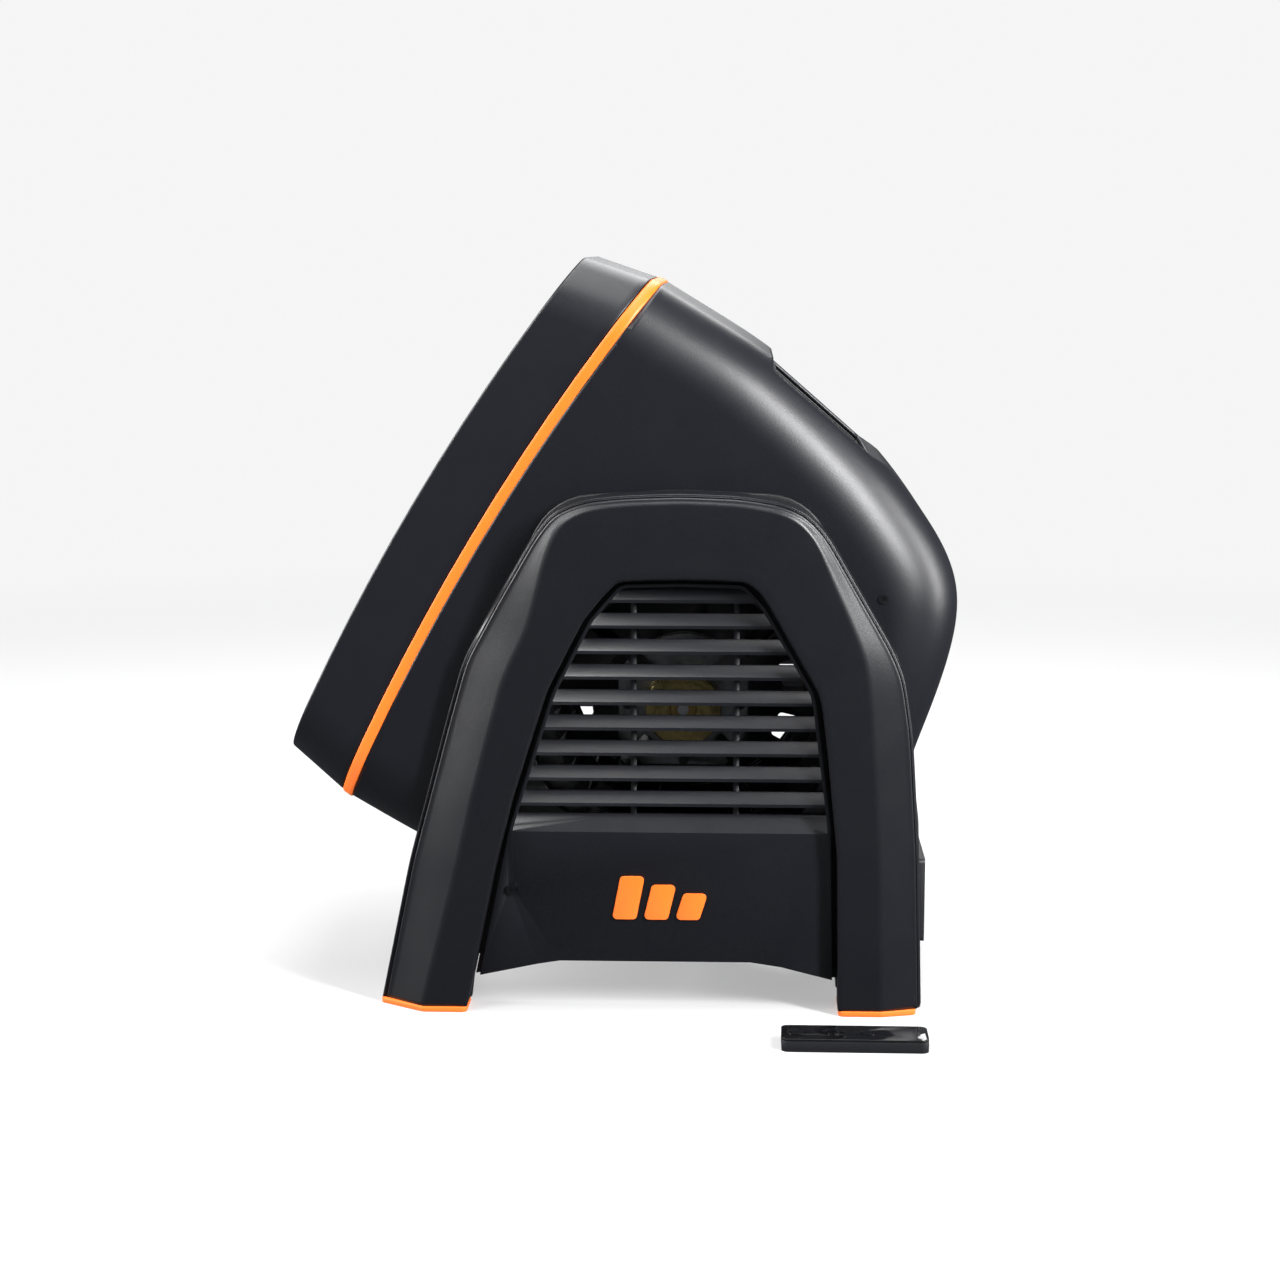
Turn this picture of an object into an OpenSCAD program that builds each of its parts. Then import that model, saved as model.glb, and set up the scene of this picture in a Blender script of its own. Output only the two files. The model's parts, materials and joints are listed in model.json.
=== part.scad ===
// Tilting blower floor fan with a hand remote, modelled as separate pieces.
// Units are millimetres. +Z is up, the air outlet faces -Y, +X is the fan's left side.
// The origin is on the floor, straight below the tilt axis, at mid width.

/* [Overall] */
// Overall width over the two side covers
stand_w = 306; // [280:1:380]
// Height of the tilt axis above the floor
tilt_z = 203.6; // [180:0.1:250]
// Lean of the head behind upright as it stands
rest_tilt = 31.3; // [0:0.1:45]

/* [Side stand] */
// Depth of each side cover, outside to inside
cover_depth = 22; // [14:0.5:30]
// Thickness of each inner side frame
frame_t = 6; // [4:0.5:10]
// Space between head side and inner frame
head_gap = 3; // [1.5:0.1:6]
// Wall of the moulded stand pieces
wall = 3; // [2:0.1:4]
// Thickness of a foot sole
sole_t = 4; // [2:0.1:5]
// Distance from one louvre slat to the next
slat_pitch = 17.8; // [14:0.1:24]
// Thickness of a louvre slat
slat_t = 2.2; // [1.4:0.1:3]

/* [Head] */
// Wall of the head mouldings
shell_t = 3; // [2:0.1:4]
// Radius of the rounding from side to top
head_round = 48; // [30:1:60]
// Width of the accent ring seen from the side
ring_w = 8; // [5:0.5:12]
// Depth of the pocket around the grip
cup_depth = 42; // [36:1:50]
// Width of the grip bar, front to back
grip_w = 26; // [22:1:36]

/* [Blower] */
// Outer radius of the blower wheel
wheel_r = 110; // [95:0.5:116]
// Radial depth of the blades
blade_w = 18; // [12:0.5:24]
// Number of blades
blade_count = 32; // [20:2:40]
// Outer radius of the tilt bush
pivot_r = 113; // [108:0.5:118]
// Radial running clearance of the tilt bush
pivot_clear = 0.08; // [0.02:0.01:0.1]

/* [Motor] */
// Radius of the motor shaft
shaft_r = 4; // [3:0.1:6]
// Radial running clearance of the shaft
shaft_clear = 0.05; // [0.02:0.01:0.1]
// Outer radius of the stator stack
stator_r = 46; // [40:0.5:50]
// Radial air gap between stator and rotor
air_gap = 0.5; // [0.3:0.1:1]

/* [Rear controls] */
// Radius of a panel push button
button_r = 7; // [5:0.1:9]
// Clearance around a moving button
button_clear = 0.4; // [0.3:0.1:0.8]
// Distance between panel push buttons
button_pitch = 24; // [20:0.5:30]

/* [Remote] */
// Length of the remote
remote_l = 98; // [80:1:120]
// Width of the remote
remote_w = 31; // [26:1:40]
// Thickness of the remote
remote_t = 9; // [8:0.5:14]
// Radius of the coin cell
cell_r = 10; // [8:0.5:12.5]

/* [Hidden] */
cover_x = stand_w / 2;
frame_x = cover_x - cover_depth;
frame_in = frame_x - frame_t;
head_x = frame_in - head_gap;
kz = tilt_z / 203.6;
gap = 0.1;
panel_x = cover_x - 12;
panel_in = frame_x + gap;
wheel_h = head_x - 34;
side_x = wheel_h + 7;
motor_x = wheel_h - 25;
foot_h = 14;
ring_apex = -187;
front_apex = -237.4;
bow_r = 1627;
head_cv = 33;
head_top = 246.5;
head_bot = -180;
ring_u = -173.4;
rear_r = 166;
steps = [0, 18, 36, 54, 72, 90];
slope = -9.8;
cup_mid = [-25.7, 235.9];
cup_l = 85;
cup_hx = 82;
panel_y = 167;
plate_t = 7.5;
rocker_y = panel_y + 3.5;
bolt_c = 40.5;
panel_hx = 70;
remote_x = 216;
remote_y = 118.5;
bevel = 3;

function unit(v) = v / norm(v);
function xy(p) = [p[0], p[1]];

// Points of an arc of radius r that rounds the corner b between a and c.
function fillet(a, b, c, r, n) =
  let (u = unit(a - b), w = unit(c - b), half = acos(max(-1, min(1, u * w))) / 2,
    d = r / tan(half), m = b + unit(u + w) * r / sin(half), s = b + u * d, e = b + w * d,
    a0 = atan2(s[1] - m[1], s[0] - m[0]), a1 = atan2(e[1] - m[1], e[0] - m[0]),
    da = a1 - a0 > 180 ? a1 - a0 - 360 : (a1 - a0 < -180 ? a1 - a0 + 360 : a1 - a0))
  [for (i = [0 : n]) m + r * [cos(a0 + da * i / n), sin(a0 + da * i / n)]];

// A polygon of [x, y, r] corners, each rounded with its own radius.
function rounded(p, n = 6) =
  let (k = len(p))
  [for (i = [0 : k - 1])
    each (p[i][2] > 0
      ? fillet(xy(p[(i + k - 1) % k]), xy(p[i]), xy(p[(i + 1) % k]), p[i][2], n)
      : [xy(p[i])])];

// A section in X and Z drawn out along Y.
module slab_y(p) {
  rotate([90, 0, 0])
    linear_extrude(400, center = true)
      polygon(p);
}

// The same corners moved by d to the right of the way round, radii kept above 1.
function shifted(p, d) =
  let (k = len(p))
  [for (i = [0 : k - 1])
    let (a = xy(p[(i + k - 1) % k]), b = xy(p[i]), c = xy(p[(i + 1) % k]),
      e1 = unit(b - a), e2 = unit(c - b), n1 = [e1[1], -e1[0]], n2 = [e2[1], -e2[0]],
      q = b + d * (n1 + n2) / (1 + n1 * n2))
    [q[0], q[1], p[i][2]]];

function tall(p) = [for (q = p) [q[0], q[1] * kz, len(q) > 2 ? q[2] : 0]];

// Outlines of the stand seen from the side, clockwise from the front foot.
arch_out = tall([[-211.3, 2], [-187.5, 112, 80], [-150.5, 246.5, 60], [-88, 359.5, 45],
  [-2, 364.5, 300], [84, 360.5, 45], [151.5, 245, 50], [164.8, 135, 90], [168.6, 2]]);
arch_in = tall([[-149, 2], [-122.5, 131, 90], [-92.4, 226.4, 40], [-66.3, 277.5, 30],
  [-43.5, 304, 10], [0, 305, 200], [44.5, 304, 10], [60, 287, 30], [95.4, 225.7, 40],
  [107.3, 132.2, 90], [109.8, 2]]);
front_line = tall([[-180.5, 2], [-155.3, 109], [-130.8, 207.8], [-118.1, 242.7],
  [-84, 303]]);
front_edge = tall([[-208.8, 2], [-185, 112], [-157, 220], [-146, 246.5], [-113, 308]]);
plateau = concat([for (p = front_line) xy(p)],
  [for (p = tall([[-66, 333], [-44, 350], [0, 356], [48, 353], [76, 345], [94, 318],
    [126.5, 240.3], [130.8, 182.1], [135.1, 115.6], [138.4, 2]])) xy(p)]);
function blend_front(t) = [for (i = [0 : 4]) xy(front_line[i]) * (1 - t) + xy(front_edge[i]) * t];
shoulder = concat(blend_front(0.36),
  [for (p = tall([[-86, 341], [-58, 357], [0, 361], [52, 359], [84, 347], [98, 331],
    [146, 246], [157.5, 190], [162.5, 110], [165.3, 2]])) xy(p)]);

// Side outline of the head behind the accent ring, from the pivot, head upright.
back_line = concat([[ring_u - 40, head_top], [-79, 246], [-20, 235.6], [35.4, 222], [94.3, 196.6],
  [113, 184], [125.2, 170.1], [136.8, 143.9], [145.6, 111.7], [151, 86]],
  [for (a = [20 : -15 : -85]) rear_r * [cos(a), sin(a)]],
  [[-60, -174], [-116, -178.5], [ring_u - 40, head_bot]]);

module along_x(w) {
  rotate([90, 0, 90])
    linear_extrude(w, center = true)
      children();
}

module slab(x0, x1) {
  translate([(x0 + x1) / 2, 0, 0])
    along_x(x1 - x0)
      children();
}

module disc_x(x0, x1, r) {
  translate([x0, 0, 0])
    rotate([0, 90, 0])
      cylinder(h = x1 - x0, r = r, $fn = 96);
}

module tube_x(x0, x1, ro, ri) {
  difference() {
    disc_x(x0, x1, ro);
    disc_x(x0 - 1, x1 + 1, ri);
  }
}

module box3(x, y, z) {
  translate([x[0], y[0], z[0]])
    cube([x[1] - x[0], y[1] - y[0], z[1] - z[0]]);
}

module in_head() {
  translate([0, 0, tilt_z])
    rotate([-rest_tilt, 0, 0])
      children();
}

module on_axis() {
  translate([0, 0, tilt_z])
    children();
}

module right_side() {
  mirror([1, 0, 0])
    children();
}

// One side cover: a deep shell with a long front facet and a short rear facet.
module cover_solid(d) {
  hull() {
    slab(frame_x - 1, frame_x + 6 - d)
      polygon(rounded(shifted(arch_out, 2.5 + d)));
    slab(cover_x - 8 - d, cover_x - 7.9 - d)
      polygon([for (p = shifted([for (q = shoulder) [q[0], q[1], 0]], d)) xy(p)]);
    slab(cover_x - 0.1 - d, cover_x - d)
      polygon([for (p = shifted([for (q = plateau) [q[0], q[1], 0]], d)) xy(p)]);
  }
}

module arch_cover() {
  difference() {
    cover_solid(0);
    slab(frame_x - 5, cover_x + 5)
      polygon(rounded(arch_in));
    difference() {
      cover_solid(wall);
      slab(frame_x - 5, cover_x + 5)
        polygon(rounded(shifted(arch_in, -wall)));
    }
    box3([frame_x - 9, frame_x + gap], [-400, 400], [-50, 900]);
    box3([0, 400], [-400, 0], [-50, sole_t]);
    box3([0, 400], [0, 400], [-50, foot_h]);
  }
}

module left_arch_cover() {
  color("#1b1c22")
    arch_cover();
}

module right_arch_cover() {
  color("#1b1c22")
    right_side()
      arch_cover();
}

skirt_top = 127 * kz;
edge_d = 3.3;

module panel_outline(d) {
  polygon(rounded(shifted(arch_in, 0.3 + d)));
}

// Louvre and skirt in one moulding, raised inside a low flange, set in the cover's opening.
module side_panel() {
  difference() {
    union() {
      slab(panel_in, panel_in + 2.5)
        difference() {
          panel_outline(0);
          panel_outline(edge_d + 2.4);
        }
      difference() {
        slab(panel_in, panel_x)
          panel_outline(edge_d);
        slab(panel_in - 1, panel_x - 3)
          panel_outline(edge_d + 2.4);
        slab(panel_x - 4, panel_x + 1)
          intersection() {
            panel_outline(edge_d + 2.4);
            translate([-300, skirt_top])
              square([600, 600]);
          }
      }
      intersection() {
        slab(panel_in, panel_x)
          panel_outline(edge_d + 0.1);
        union() {
          slab_y([[panel_x, skirt_top - 3], [panel_x, skirt_top], [panel_x - 7, skirt_top + 12 * kz],
            [panel_x - 9.4, skirt_top + 12 * kz], [panel_x - 3, skirt_top - 3]]);
          for (i = [1 : 9])
            translate([0, 0, (132.6 + i * slat_pitch) * kz])
              slab_y([[panel_in + 1.5, 4.8], [panel_x - 0.2, -5], [panel_x - 0.2, -5 + slat_t],
                [panel_in + 1.5 + slat_t, 4.8]]);
          for (y = [-33, 38])
            box3([panel_in, panel_in + 3], [y - 2, y + 2], [skirt_top - 3, 310 * kz]);
        }
      }
    }
    slab(panel_in - 5, panel_x + 5)
      polygon([[-200, -10], [-200, 22], [-143, 22.9], [-100, 32], [-84.5, 34.5], [48.5, 34.7],
        [70, 31.5], [106.5, 22.4], [200, 22], [200, -10]]);
    translate([panel_x - 3.5, -118.4, 85.6])
      rotate([0, 90, 0])
        cylinder(h = 9, r = 2.2, $fn = 32);
  }
}

module left_side_panel() {
  color("#1b1c22")
    side_panel();
}

module right_side_panel() {
  color("#1b1c22")
    right_side()
      side_panel();
}

// Flat structural frame that carries the tilt spigot and both legs.
module inner_frame() {
  difference() {
    union() {
      slab(frame_in, frame_x)
        polygon(rounded(arch_out));
      on_axis()
        disc_x(frame_in - 11, frame_x, pivot_r - 4);
    }
    on_axis()
      disc_x(frame_in - 20, frame_x + 5, pivot_r - 8);
    slab(frame_in - 5, frame_x + 5)
      polygon([[-149.5, -10], [-144, 36], [107.4, 36], [110, -10]]);
    box3([0, 400], [-400, 0], [-50, sole_t]);
    box3([0, 400], [0, 400], [-50, foot_h]);
  }
  for (y = [-118.4, 92])
    translate([frame_x, y, 85.6])
      rotate([0, 90, 0])
        difference() {
          cylinder(h = panel_x - 3 - frame_x - gap, r = 4.5, $fn = 40);
          if (y < 0)
            translate([0, 0, 1])
              cylinder(h = 30, r = 1.9, $fn = 24);
        }
}

module left_inner_frame() {
  color("#202127")
    inner_frame();
}

module right_inner_frame() {
  color("#202127")
    right_side()
      inner_frame();
}

module pivot_bush() {
  on_axis()
    tube_x(frame_in - 10.5, frame_in - gap, pivot_r, pivot_r - 4 + 0.05);
}

module left_pivot_bush() {
  color("#d9d6cc")
    pivot_bush();
}

module right_pivot_bush() {
  color("#d9d6cc")
    right_side()
      pivot_bush();
}

// Raised generic mark: three slanted bars of falling height.
module badge() {
  for (i = [0 : 2])
    slab(panel_x + gap, panel_x + 1.4)
      polygon(rounded([[-48 + i * 22, 65, 3], [-42 + i * 22, 96 - i * 6, 3],
        [-25 + i * 22, 96 - i * 6, 3], [-31 + i * 22, 65, 3]]));
}

module left_badge() {
  color("#ff7f20")
    badge();
}

module right_badge() {
  color("#ff7f20")
    right_side()
      badge();
}

module front_crossbeam() {
  color("#1b1c22")
    difference() {
      translate([0, -191, 14])
        rotate([90, 0, 90])
          linear_extrude(2 * (frame_in - gap), center = true)
            polygon(rounded([[-13, -9, 3], [-13, 9, 3], [13, 9, 3], [13, -9, 3]]));
      translate([0, -191, 14])
        rotate([90, 0, 90])
          linear_extrude(2 * frame_in + 20, center = true)
            polygon(rounded([[-10, -6, 1], [-10, 6, 1], [10, 6, 1], [10, -6, 1]]));
    }
}

box_y = 146;

// Rear crossbeam, a closed tray that holds the electronics.
module rear_control_box() {
  color("#1b1c22")
    difference() {
      box3([-frame_in + gap, frame_in - gap], [box_y, panel_y - gap], [26, 94]);
      box3([-frame_in + 5, frame_in - 5], [box_y + wall, panel_y + 5], [29, 91]);
    }
}

module button_hole(x) {
  translate([x, panel_y - 5, 74])
    rotate([-90, 0, 0])
      cylinder(h = 20, r = button_r + button_clear, $fn = 48);
}

module control_panel() {
  color("#16171b")
    difference() {
      union() {
        translate([0, panel_y + plate_t / 2, 0])
          rotate([90, 0, 0])
            linear_extrude(plate_t, center = true)
              polygon(rounded([[-panel_hx, 31, 3], [-panel_hx, 92.3, 3], [panel_hx, 92.3, 3],
                [panel_hx, 31, 3]]));
        box3([-frame_in + 5.2, -panel_hx], [panel_y - 1.5, panel_y], [29.2, 90.8]);
        box3([panel_hx, frame_in - 5.2], [panel_y - 1.5, panel_y], [29.2, 90.8]);
        box3([-panel_hx, panel_hx], [panel_y - 1.5, panel_y], [29.2, 90.8]);
      }
      for (i = [-1 : 1])
        button_hole(i * button_pitch);
      box3([-58, -36], [panel_y - 2, panel_y + 9], [65, 83]);
      translate([-47, rocker_y, 74])
        disc_x(-12.4, 12.4, 1.55);
      box3([-14 - gap, 14 + gap], [panel_y - 2, panel_y + 9], [34 - gap, 54 + gap]);
      translate([50, panel_y - 2, 74])
        rotate([-90, 0, 0])
          cylinder(h = 12, r = 4.1, $fn = 40);
    }
}

module panel_button(x) {
  translate([x, 0, 74])
    rotate([-90, 0, 0])
      translate([0, 0, panel_y - 4])
        union() {
          cylinder(h = 13.5, r = button_r, $fn = 48);
          cylinder(h = 1.8, r = button_r + 1.6, $fn = 48);
        }
}

module panel_button_power() {
  color("#ff7f20")
    panel_button(-button_pitch);
}

module panel_button_speed() {
  color("#2a2b31")
    panel_button(0);
}

module panel_button_timer() {
  color("#2a2b31")
    panel_button(button_pitch);
}

// Rocker turned about two round pins at the sides of its window.
module mains_switch() {
  color("#101114")
    translate([-47, rocker_y, 74]) {
      rotate([6, 0, 0])
        rotate([0, 90, 0])
          linear_extrude(21, center = true)
            polygon([[-7.4, 0], [-7.4, 5], [-6, 6.4], [0, 5], [6, 6.4], [7.4, 5], [7.4, 0],
              [3, -4], [-3, -4]]);
      disc_x(-12.1, 12.1, 1.5);
    }
}

module power_inlet() {
  color("#0d0d10")
    difference() {
      union() {
        box3([-14, 14], [panel_y - 13, panel_y + plate_t], [34, 54]);
        box3([-17, 17], [panel_y - 3.5, panel_y - 1.5 - gap], [31.5, 56.5]);
      }
      box3([-11, 11], [panel_y - 10, panel_y + 9], [37, 51]);
    }
  color("#b9a66a")
    for (x = [-6, 0, 6])
      box3([x - 1, x + 1], [panel_y - 10.5, panel_y - 1], [42, 46]);
}

module control_board() {
  color("#1d4a2c")
    box3([-100, 100], [box_y + 4, box_y + 5.6], [57, 90]);
  color("#2a2a2a")
    for (x = [-24, 0, 24])
      box3([x - 3, x + 3], [box_y + 5.6, box_y + 13], [71, 77]);
  color("#333333")
    box3([60, 84], [box_y + 5.6, box_y + 15], [62, 80]);
}

module receiver_window() {
  color("#3a0f10")
    translate([50, 0, 74])
      rotate([-90, 0, 0])
        translate([0, 0, panel_y - 3.5])
          union() {
            cylinder(h = 11.5, r = 4, $fn = 40);
            cylinder(h = 1.8, r = 6, $fn = 40);
          }
}

function front_pad() = rounded([[-211.5, frame_in + 0.2, 2], [-149, frame_in + 0.2, 2],
  [-149, cover_x + 1, 4], [-180, cover_x + 1, 8], [-211.5, frame_x + 2, 4]]);
function rear_pad() = rounded([[110, frame_in - 11, 2], [110, cover_x + 0.6, 4],
  [140, cover_x + 0.6, 6], [164, cover_x - 6, 4], [164, frame_in - 11, 2]]);

module sole(p) {
  linear_extrude(sole_t - gap)
    polygon([for (q = p) [q[1], q[0]]]);
}

module front_soles() {
  color("#ff7f20") {
    sole(front_pad());
    mirror([1, 0, 0])
      sole(front_pad());
  }
}

module rear_soles() {
  color("#ff7f20") {
    sole(rear_pad());
    mirror([1, 0, 0])
      sole(rear_pad());
  }
}

module foot_block() {
  difference() {
    translate([0, 0, sole_t])
      linear_extrude(foot_h - sole_t - gap)
        polygon([[frame_in - 10.5, 112], [cover_x - 3, 112], [cover_x - 3, 137], [cover_x - 8, 163.7],
          [frame_in - 10.5, 163.7]]);
    translate([0, 0, sole_t + wall])
      linear_extrude(30)
        polygon([[frame_in - 7.5, 115], [cover_x - 6, 115], [cover_x - 6, 136], [cover_x - 11, 160.7],
          [frame_in - 7.5, 160.7]]);
  }
}

module rear_foot_blocks() {
  color("#121316") {
    foot_block();
    mirror([1, 0, 0])
      foot_block();
  }
}

module pan_screw(r, l) {
  difference() {
    union() {
      cylinder(h = 1.6, r = r * 1.9, $fn = 32);
      translate([0, 0, -l])
        cylinder(h = l + 0.5, r = r, $fn = 24);
    }
    translate([0, 0, 1.6])
      cube([r * 2.2, 0.7, 1.6], center = true);
    translate([0, 0, 1.6])
      cube([0.7, r * 2.2, 1.6], center = true);
  }
}

module stand_screws() {
  color("#3b3d42")
    for (s = [0, 1])
      mirror([s, 0, 0])
        translate([panel_x + gap, -118.4, 85.6])
          rotate([0, 90, 0])
            pan_screw(1.8, 8);
}

// The bowed cut that the front edge and the ring share, apex at u.
module bow(u) {
  translate([0, u + bow_r, head_cv])
    rotate([0, 90, 0])
      cylinder(h = 600, r = bow_r, center = true, $fn = 360);
}

function drop(d) = 1 - cos(d);
function side_at(d, i) = (head_x - i) - (head_round - i) * (1 - sin(d));

// Head section across X, rounded corners, inset by i and narrowed by n.
function cross(i, n, top, bot) =
  let (r = head_round - i, w = head_x - i - n, t = top - i, b = bot + i)
  concat([for (d = steps) [w - r * (1 - sin(d)), t - r * (1 - cos(d))]],
    [for (k = [5 : -1 : 0]) [w - r * (1 - sin(steps[k])), b + r * (1 - cos(steps[k]))]],
    [for (d = steps) [-w + r * (1 - sin(d)), b + r * (1 - cos(d))]],
    [for (k = [5 : -1 : 0]) [-w + r * (1 - sin(steps[k])), t - r * (1 - cos(steps[k]))]]);

module section(u, p) {
  translate([0, u, 0])
    rotate([90, 0, 0])
      linear_extrude(0.05)
        polygon(p);
}

module nose_solid(i) {
  hull() {
    section(ring_u + 30, cross(i, 0, head_top, head_bot));
    section(ring_u, cross(i, 0, head_top, head_bot));
    section(-290, cross(i, 11, head_top - 25.6, head_bot + 20.5));
  }
}

function slice(i, d) =
  let (c = head_round - i, e = i + c * drop(d), su = 1 - e / 339, sv = 1 - e / 213.25)
  [for (p = back_line) [ring_u + (p[0] - ring_u) * su, head_cv + (p[1] - head_cv) * sv]];

module tail_solid(i) {
  hull()
    for (d = steps)
      slab(-side_at(d, i), side_at(d, i))
        polygon(slice(i, d));
}

module front_bezel() {
  color("#1b1c22")
    in_head()
      difference() {
        intersection() {
          nose_solid(0);
          bow(front_apex);
        }
        bow(ring_apex - ring_w / 2 - gap / 2);
        nose_solid(shell_t);
      }
}

module band_solid(i) {
  hull() {
    section(ring_u + 12, cross(i, 0, head_top, head_bot));
    section(ring_u - 25, cross(i, 2, head_top - 4.5, head_bot + 3.5));
  }
}

module accent_ring() {
  color("#ff7f20")
    in_head()
      difference() {
        intersection() {
          band_solid(-0.6);
          bow(ring_apex - ring_w / 2 + gap / 2);
        }
        bow(ring_apex + ring_w / 2 - gap / 2);
        band_solid(shell_t);
      }
}

module in_cup() {
  in_head()
    translate([0, cup_mid[0], cup_mid[1]])
      rotate([slope, 0, 0])
        children();
}

// Hand recess across the top: a step down, a floor and a ramp up to the back.
module recess(w, d) {
  in_cup()
    slab(-w, w)
      polygon([[-52.4 - d, 40], [-52.4 - d, 1 - d / 3], [-45 - 0.4 * d, -6 - d], [43.7 + 0.1 * d, -6 - d],
        [63.5 + d, -3.1 - 0.85 * d], [63.5 + d, 40]]);
}

module rear_shell() {
  difference() {
    in_head()
      intersection() {
        tail_solid(0);
        bow(ring_apex + ring_w / 2 + gap / 2);
        translate([500 + gap / 2, 0, 0])
          cube([1000, 1000, 1000], center = true);
      }
    recess(101, 0);
    difference() {
      in_head()
        tail_solid(shell_t);
      recess(104, 3);
    }
    in_cup()
      box3([-cup_hx + 2.5, cup_hx - 2.5], [-cup_l / 2, cup_l / 2], [-12, 10]);
    in_head() {
      disc_x(head_x - 30, head_x + 9, pivot_r + 7);
      translate([0, 74, 145]) {
        disc_x(head_x - 0.8, head_x + 9, 8);
        disc_x(head_x - 9, head_x + 9, 2.1);
      }
    }
  }
}

module left_rear_shell() {
  color("#1b1c22")
    rear_shell();
}

module right_rear_shell() {
  color("#1b1c22")
    right_side()
      rear_shell();
}

// Pocket hung under the floor of the hand recess.
module handle_cup() {
  color("#141519")
    in_cup()
      difference() {
        union() {
          box3([-90, 90], [-cup_l / 2 - 5.5, cup_l / 2 + 5.5], [-9.1 - 2, -9.1]);
          box3([-cup_hx, cup_hx], [-cup_l / 2 - 2.5, cup_l / 2 + 2.5], [-8 - cup_depth, -10]);
        }
        box3([-cup_hx + 2.5, cup_hx - 2.5], [-cup_l / 2, cup_l / 2], [-5.5 - cup_depth, 0]);
      }
}

module grip_bar() {
  color("#1b1c22")
    in_cup()
      slab(-cup_hx + 2.7, cup_hx - 2.7)
        polygon(rounded([[-grip_w / 2, -26, 6], [-grip_w / 2, -11, 5], [grip_w / 2, -11, 5],
          [grip_w / 2, -26, 6]]));
}

// Scroll outline: a spiral from the tongue over the back, open to the front.
function spiral(i) = concat([for (k = [0 : 12]) let (a = 120 - k * 17.5, r = 119 + k * 2.9 + i)
  r * [cos(a), sin(a)]]);
function duct(i) = concat([[-203, 186 + i]], spiral(i), [[-203, -158 - i]]);

module scroll_housing() {
  color("#26272d")
    in_head()
      difference() {
        slab(-side_x, side_x)
          polygon(duct(2.5));
        slab(-side_x + 2.5, side_x - 2.5)
          polygon(concat([[-220, 188]], spiral(0), [[-220, -158]]));
        disc_x(-300, 300, wheel_r - blade_w + 4);
      }
}

// Bell mouth with the collar that turns on the tilt bush.
module inlet_ring() {
  rotate([0, 90, 0])
    rotate_extrude($fn = 96)
      polygon([[pivot_r + pivot_clear, head_x - 9.2], [pivot_r + pivot_clear, head_x],
        [pivot_r + 6.8, head_x], [pivot_r + 6.8, head_x - 11.7], [pivot_r - 8, head_x - 11.7],
        [wheel_r - blade_w + 2, side_x + 4], [wheel_r - blade_w + 2, side_x + gap],
        [wheel_r - blade_w - 0.5, side_x + gap], [wheel_r - blade_w - 0.5, side_x + 5],
        [pivot_r - 8.6, head_x - 9.2]]);
}

module left_inlet_ring() {
  color("#26272d")
    on_axis()
      inlet_ring();
}

module right_inlet_ring() {
  color("#26272d")
    on_axis()
      right_side()
        inlet_ring();
}

module outlet_grille() {
  color("#16171b")
    in_head()
      union() {
        difference() {
          intersection() {
            nose_solid(shell_t + gap);
            bow(front_apex + 10);
          }
          bow(front_apex + 20);
          nose_solid(shell_t + 8);
        }
        intersection() {
          nose_solid(shell_t + 2);
          union() {
            for (i = [-10 : 10])
              translate([0, -221 + i * i * 0.1, head_cv + i * 18.4])
                rotate([12, 0, 0])
                  cube([240, 12, 2.4], center = true);
            for (x = [-70, 0, 70])
              difference() {
                intersection() {
                  box3([x - 1.5, x + 1.5], [-240, -200], [-180, 250]);
                  bow(front_apex + 13);
                }
                bow(front_apex + 22);
              }
          }
        }
      }
}

module head_screws() {
  color("#3b3d42")
    in_head()
      for (s = [0, 1])
        mirror([s, 0, 0])
          translate([head_x - 0.8 + gap, 74, 145])
            rotate([0, 90, 0])
              pan_screw(1.8, 7);
}

module motor_plate() {
  color("#b9bcc0")
    on_axis()
      difference() {
        slab(motor_x, motor_x + 2)
          polygon([[-47, -24], [-47, 24], [-30, 44], [30, 44], [47, 24], [47, -24], [30, -44],
            [-30, -44]]);
        disc_x(motor_x - 5, motor_x + 9, 9.1);
        for (a = [0 : 90 : 270])
          rotate([a, 0, 0])
            translate([motor_x - 5, bolt_c, 0])
              rotate([0, 90, 0])
                cylinder(h = 20, r = 2.1, $fn = 24);
      }
}

module motor_can() {
  color("#b8a24a")
    on_axis()
      difference() {
        disc_x(motor_x + 2 + gap, motor_x + 20, 27);
        disc_x(motor_x - 5, motor_x + 18, 25.4);
        disc_x(motor_x - 5, motor_x + 30, 9.1);
      }
}

module motor_end_bracket() {
  color("#b9bcc0")
    on_axis()
      difference() {
        disc_x(motor_x - 43, motor_x - 41, stator_r);
        disc_x(motor_x - 50, motor_x - 30, 9.1);
        for (a = [0 : 90 : 270])
          rotate([a, 0, 0])
            translate([motor_x - 50, bolt_c, 0])
              rotate([0, 90, 0])
                cylinder(h = 20, r = 2.1, $fn = 24);
      }
}

module motor_stator() {
  color("#6d6f73")
    on_axis()
      difference() {
        disc_x(motor_x - 32, motor_x - 9, stator_r);
        disc_x(motor_x - 60, motor_x + 9, stator_r - 22);
        for (a = [0 : 90 : 270])
          rotate([a, 0, 0])
            translate([motor_x - 60, bolt_c, 0])
              rotate([0, 90, 0])
                cylinder(h = 90, r = 2.1, $fn = 24);
      }
}

module motor_windings() {
  color("#a8602c")
    on_axis()
      for (x = [motor_x - 36.5, motor_x - 4.5])
        translate([x, 0, 0])
          rotate([0, 90, 0])
            rotate_extrude($fn = 96)
              translate([32.5, 0])
                polygon(rounded([[-5.5, -4.3, 2], [-5.5, 4.3, 2], [5.5, 4.3, 2], [5.5, -4.3, 2]]));
}

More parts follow.
